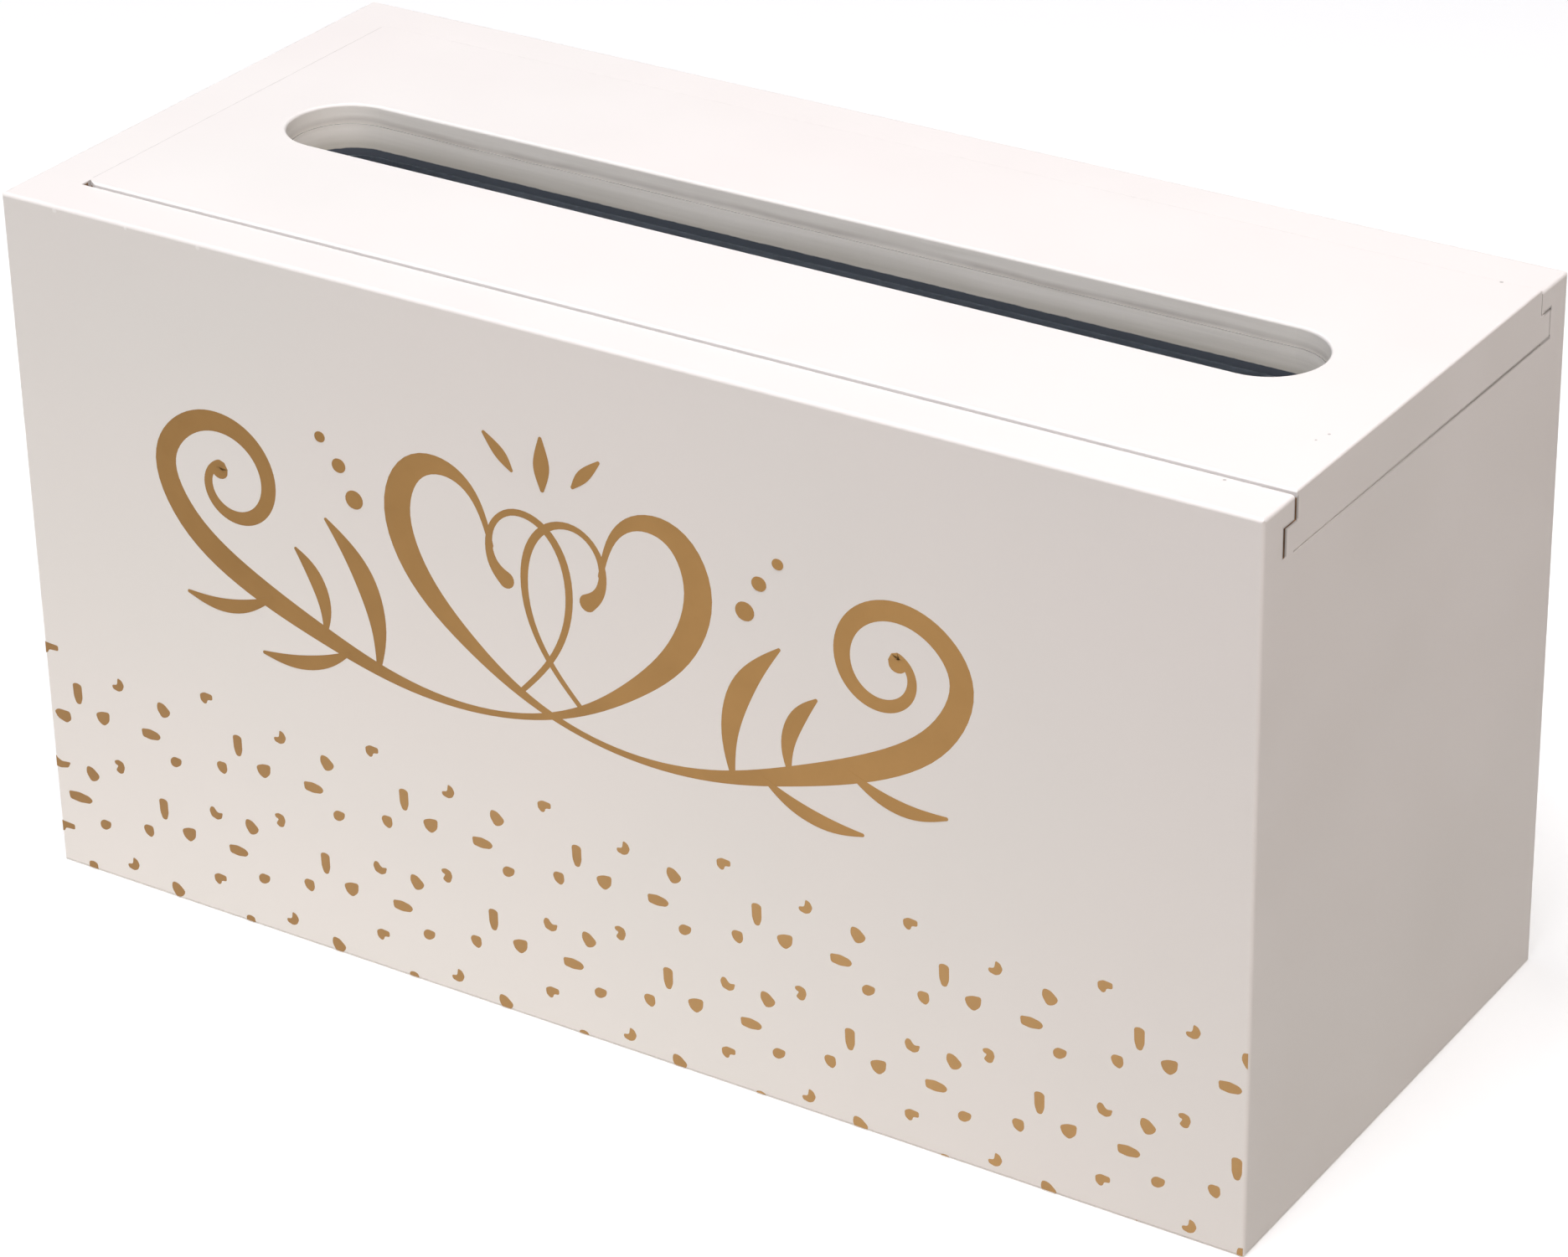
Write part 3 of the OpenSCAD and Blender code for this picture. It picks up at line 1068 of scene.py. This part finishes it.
@dataclass
class HeartFlourish:
    """Linked hearts between two leafy scrolls, above the band. Its two sides mirror each other.

    Places are in millimetres from the middle of the flourish.
    """

    pen: Pen
    middle_mm: tuple[float, float] = (-12.5, 103.5)
    heart_and_scroll: tuple[Knot | Curl, ...] = (
        Knot(13.5, 8.0, 1.2), Knot(16.0, 18.0, 1.8), Knot(23.0, 23.8, 3.4), Knot(33.5, 22.5, 5.8),
        Knot(39.0, 10.0, 7.0), Knot(33.0, -5.0, 6.2), Knot(21.0, -16.0, 4.0), Knot(8.0, -25.0, 2.0),
        Knot(-7.0, -30.5, 1.3), Knot(-24.0, -32.5, 1.6), Knot(-42.0, -30.5, 2.8), Knot(-60.0, -24.5, 4.6),
        Knot(-77.0, -18.0, 6.2), Knot(-92.5, -9.0, 6.4),
        Curl(-81.0, 5.0, 19.0, 5.5, 180.0, -390.0, 5.4, 1.8), Knot(-83.0, 8.6, 3.4),
        Knot(-83.6, 7.6, 4.6),
    )
    inner_loop: tuple[Knot, ...] = (
        Knot(8.0, -24.5, 1.2), Knot(-1.0, -15.0, 1.4), Knot(-6.0, -3.5, 1.7), Knot(-5.5, 9.0, 2.0),
        Knot(0.5, 17.0, 1.8), Knot(9.0, 18.0, 1.4), Knot(14.5, 12.0, 1.4), Knot(14.0, 4.0, 2.2),
        Knot(10.0, 1.0, 4.0),
    )
    leaves: tuple[tuple[Knot, ...], ...] = (
        (
            Knot(44.5, -30.0, 0.8), Knot(43.0, -20.0, 4.0), Knot(46.0, -9.0, 6.2), Knot(51.0, -2.0, 3.8),
            Knot(56.0, 3.0, 0.8),
        ),
        (Knot(58.0, -24.5, 0.8), Knot(57.0, -18.0, 3.4), Knot(60.0, -10.5, 4.4), Knot(64.5, -6.0, 0.8)),
        (Knot(52.0, -27.5, 0.8), Knot(58.0, -31.5, 3.4), Knot(67.0, -34.0, 3.6), Knot(75.0, -33.5, 0.8)),
        (Knot(72.0, -20.0, 0.8), Knot(79.0, -24.0, 3.4), Knot(87.0, -25.5, 3.4), Knot(94.5, -24.0, 0.8)),
        (Knot(7.5, 26.5, 0.8), Knot(9.5, 29.0, 3.0), Knot(11.5, 31.0, 2.6), Knot(14.0, 33.5, 0.8)),
    )
    pearls: tuple[Knot, ...] = (Knot(48.0, 9.5, 4.2), Knot(51.5, 16.5, 3.2), Knot(56.0, 22.0, 2.4))
    pearl_step: float = 0.3
    middle_leaf: tuple[Knot, ...] = (
        Knot(0.0, 24.0, 1.0), Knot(0.0, 28.0, 4.2), Knot(0.0, 31.0, 3.8), Knot(0.0, 35.5, 0.8),
    )

    @property
    def strokes(self) -> list[tuple[Knot | Curl, ...]]:
        """Every stroke of one side."""
        step = self.pearl_step
        dots = [(pearl, Knot(pearl.across + step, pearl.up, pearl.width)) for pearl in self.pearls]
        return [self.heart_and_scroll, self.inner_loop, *self.leaves, *dots]

    def placed(self, stroke: Sequence[Knot | Curl], side: int) -> list[Knot]:
        """Moves a stroke from the design to the board.

        Args:
            stroke: The stroke, from the middle of the design.
            side: 1 as designed, or -1 mirrored.

        Returns:
            The stroke's control points on the board.
        """
        knots: list[Knot] = []
        for item in stroke:
            knots += item.knots() if isinstance(item, Curl) else [item]
        across, up = self.middle_mm
        return [Knot(across + side * k.across, up + k.up, k.width) for k in knots]

    def build(self) -> bpy.types.Object:
        """Draws the flourish, each stroke a little higher than the one before it.

        Returns:
            The flourish, as one object.
        """
        mesh = bmesh.new()
        strokes = [self.placed(stroke, side) for stroke in self.strokes for side in (1, -1)]
        strokes.append(self.placed(self.middle_leaf, 1))
        for order, stroke in enumerate(strokes):
            self.pen.layer_mm = order * self.pen.climb_mm / 2
            self.pen.draw(mesh, stroke)
        return finished("heart_flourish", mesh)


def finished(name: str, mesh: bmesh.types.BMesh) -> bpy.types.Object:
    """Turns a mesh into an object of the scene, with its faces outwards.

    Args:
        name: The object's name.
        mesh: The mesh, which is used up.

    Returns:
        The new object, which sits at the origin.
    """
    bmesh.ops.recalc_face_normals(mesh, faces=mesh.faces[:])
    data = bpy.data.meshes.new(name)
    mesh.to_mesh(data)
    mesh.free()
    made = bpy.data.objects.new(name, data)
    bpy.context.scene.collection.objects.link(made)
    return made


# ---- the whole box ----


@dataclass
class PaintedBoards:
    """The boards and brads of the frame, which only need their finishes."""

    plan: BoxPlan
    nodes: dict[str, bpy.types.Object]
    drips: tuple[Speck, ...] = (
        Speck((-0.1355, -0.0650, 0.1615), 0.5 * MM),
        Speck((-0.1165, -0.0650, 0.1617), 0.4 * MM),
        Speck((-0.0974, -0.0650, 0.1615), 0.5 * MM),
    )
    specks: tuple[Speck, ...] = (
        Speck((-0.0187, 0.0552, 0.1631), 0.35 * MM),
        Speck((0.1414, 0.0519, 0.1631), 0.40 * MM),
        Speck((0.1440, -0.0279, 0.1631), 0.30 * MM),
        Speck((0.1430, -0.0314, 0.1631), 0.25 * MM),
        Speck((0.1358, -0.0539, 0.1625), 0.35 * MM),
    )
    brads: tuple[str, ...] = ("corner_brads", "bottom_brads")

    def dress(self) -> None:
        """Gives each node its material."""
        paint = BoardPaint(drips=self.drips, specks=self.specks).material(self.plan)
        wire = BradWire().material()
        for name, node in self.nodes.items():
            node.data.materials.clear()
            node.data.materials.append(wire if name in self.brads else paint)
            log.info("%s: %s", name, node.data.materials[0].name)


@dataclass
class FrontPrint:
    """The gold print on the front board."""

    plan: BoxPlan
    body: str = "box"
    slot: str = "painted_board"
    stroke_ink: GoldInk = GoldInk()
    dab_ink: GoldInk = GoldInk("thin_gold_ink", (0.305, 0.162, 0.055), (0.528, 0.315, 0.12))

    def build(self) -> None:
        """Draws both parts of the print and fixes them to the box."""
        face_y = self.plan.front.low.y
        band = ConfettiBand(self.plan, Pen(face_y)).build()
        flourish = HeartFlourish(Pen(face_y)).build()
        for piece, ink in ((band, self.dab_ink), (flourish, self.stroke_ink)):
            piece.data.materials.append(ink.material())
            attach(piece, self.body)
            log.info("%s: %d faces", piece.name, len(piece.data.polygons))


@dataclass(frozen=True)
class SoftLight:
    """A square light that the camera doesn't see: place, aim, side, watts and colour."""

    name: str
    at: tuple[float, float, float]
    aim: tuple[float, float, float]
    side: float
    power: float
    tint: Colour

    def hang(self) -> None:
        """Adds the light to the scene."""
        data = bpy.data.lights.new(self.name, "AREA")
        data.shape = "SQUARE"
        data.size = self.side
        data.energy = self.power
        data.color = self.tint
        light = bpy.data.objects.new(self.name, data)
        light.visible_camera = False
        light.location = self.at
        light.rotation_euler = (Vector(self.aim) - Vector(self.at)).to_track_quat("-Z", "Y").to_euler()
        bpy.context.scene.collection.objects.link(light)


@dataclass
class Studio:
    """The floor, the soft lights and the camera.

    Three lights stand for the sky. The bounce lights are under the paper, which lets
    them through, and send up what sunlit paper would, one of them to the back of the
    box and one to its closed end.
    """

    floor_size: float = 12.0
    backdrop: Colour = (0.95, 0.945, 0.94)
    lights: tuple[SoftLight, ...] = (
        SoftLight("top_sky", (0.0, -0.7, 2.2), (0.0, 0.0, 0.0), 2.4, 71.8, (0.98, 0.97, 1.0)),
        SoftLight("front_sky", (-0.3, -2.2, 0.7), (-0.1, 0.0, 0.08), 1.2, 3.3, (0.93, 0.96, 1.0)),
        SoftLight("right_sky", (1.7, -0.2, 1.7), (0.0, 0.0, 0.1), 1.0, 17.2, (1.0, 0.91, 0.86)),
        SoftLight("front_bounce", (-0.2, -0.38, -0.18), (-0.1, -0.065, 0.02), 0.3, 0.74, (1.0, 0.98, 0.89)),
        SoftLight("middle_bounce", (0.11, -0.38, -0.18), (0.08, -0.065, 0.02), 0.3, 0.37, (1.0, 0.80, 0.70)),
        SoftLight("right_bounce", (1.0, -0.25, -0.6), (0.15, 0.0, 0.05), 0.8, 3.2, (1.0, 0.89, 0.79)),
        SoftLight("back_bounce", (-0.35, 1.5, -0.5), (0.0, 0.065, 0.08), 0.8, 17.0, (1.0, 0.955, 0.90)),
        SoftLight("left_bounce", (-1.6, 0.5, -0.5), (-0.15, 0.0, 0.08), 0.8, 14.0, (1.0, 0.955, 0.90)),
    )
    camera_at: tuple[float, float, float] = (0.5294, -0.8005, 0.5790)
    azimuth: float = 32.41
    elevation: float = 27.27
    roll: float = -0.7467
    lens_mm: float = 116.5
    sensor_mm: float = 36.0
    shift: Range = (-0.0478, -0.0392)

    def build(self) -> None:
        """Sets up the whole studio."""
        self.lay_floor()
        self.hang_lights()
        self.place_camera()

    def lay_floor(self) -> None:
        """Lays the paper that the box stands on."""
        mesh = bmesh.new()
        bmesh.ops.create_grid(mesh, x_segments=1, y_segments=1, size=self.floor_size / 2)
        floor = finished("floor", mesh)
        floor.data.materials.append(StudioFloor().material())
        floor.visible_diffuse = False
        floor.visible_shadow = False

    def hang_lights(self) -> None:
        """Hangs the lights in front of a pale backdrop, which gives no light itself."""
        world = bpy.data.worlds.new("backdrop")
        bpy.context.scene.world = world
        world.use_nodes = True
        world.node_tree.nodes["Background"].inputs["Color"].default_value = (*self.backdrop, 1.0)
        for ray in ("diffuse", "glossy", "transmission", "scatter"):
            setattr(world.cycles_visibility, ray, False)
        bpy.context.scene.view_settings.view_transform = "Standard"
        for light in self.lights:
            light.hang()

    def place_camera(self) -> None:
        """Sets the camera at its viewing angle."""
        data = bpy.data.cameras.new("camera")
        data.lens = self.lens_mm
        data.sensor_width = self.sensor_mm
        data.shift_x, data.shift_y = self.shift
        camera = bpy.data.objects.new("camera", data)
        turn, tilt, lean = (math.radians(a) for a in (self.azimuth, self.elevation, self.roll))
        pose = Euler((math.pi / 2 - tilt, 0, turn)).to_matrix().to_4x4()
        camera.matrix_world = Matrix.Translation(self.camera_at) @ pose @ Matrix.Rotation(lean, 4, "Z")
        bpy.context.scene.collection.objects.link(camera)
        bpy.context.scene.camera = camera


def main() -> None:
    """Dresses the frame, draws the print and sets up the studio."""
    logging.basicConfig(level=logging.INFO, format="%(name)s: %(message)s")
    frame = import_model()
    plan = BoxPlan.from_frame()
    PaintedBoards(plan, frame["nodes"]).dress()
    FrontPrint(plan).build()
    Studio().build()


if __name__ == "__main__":
    main()
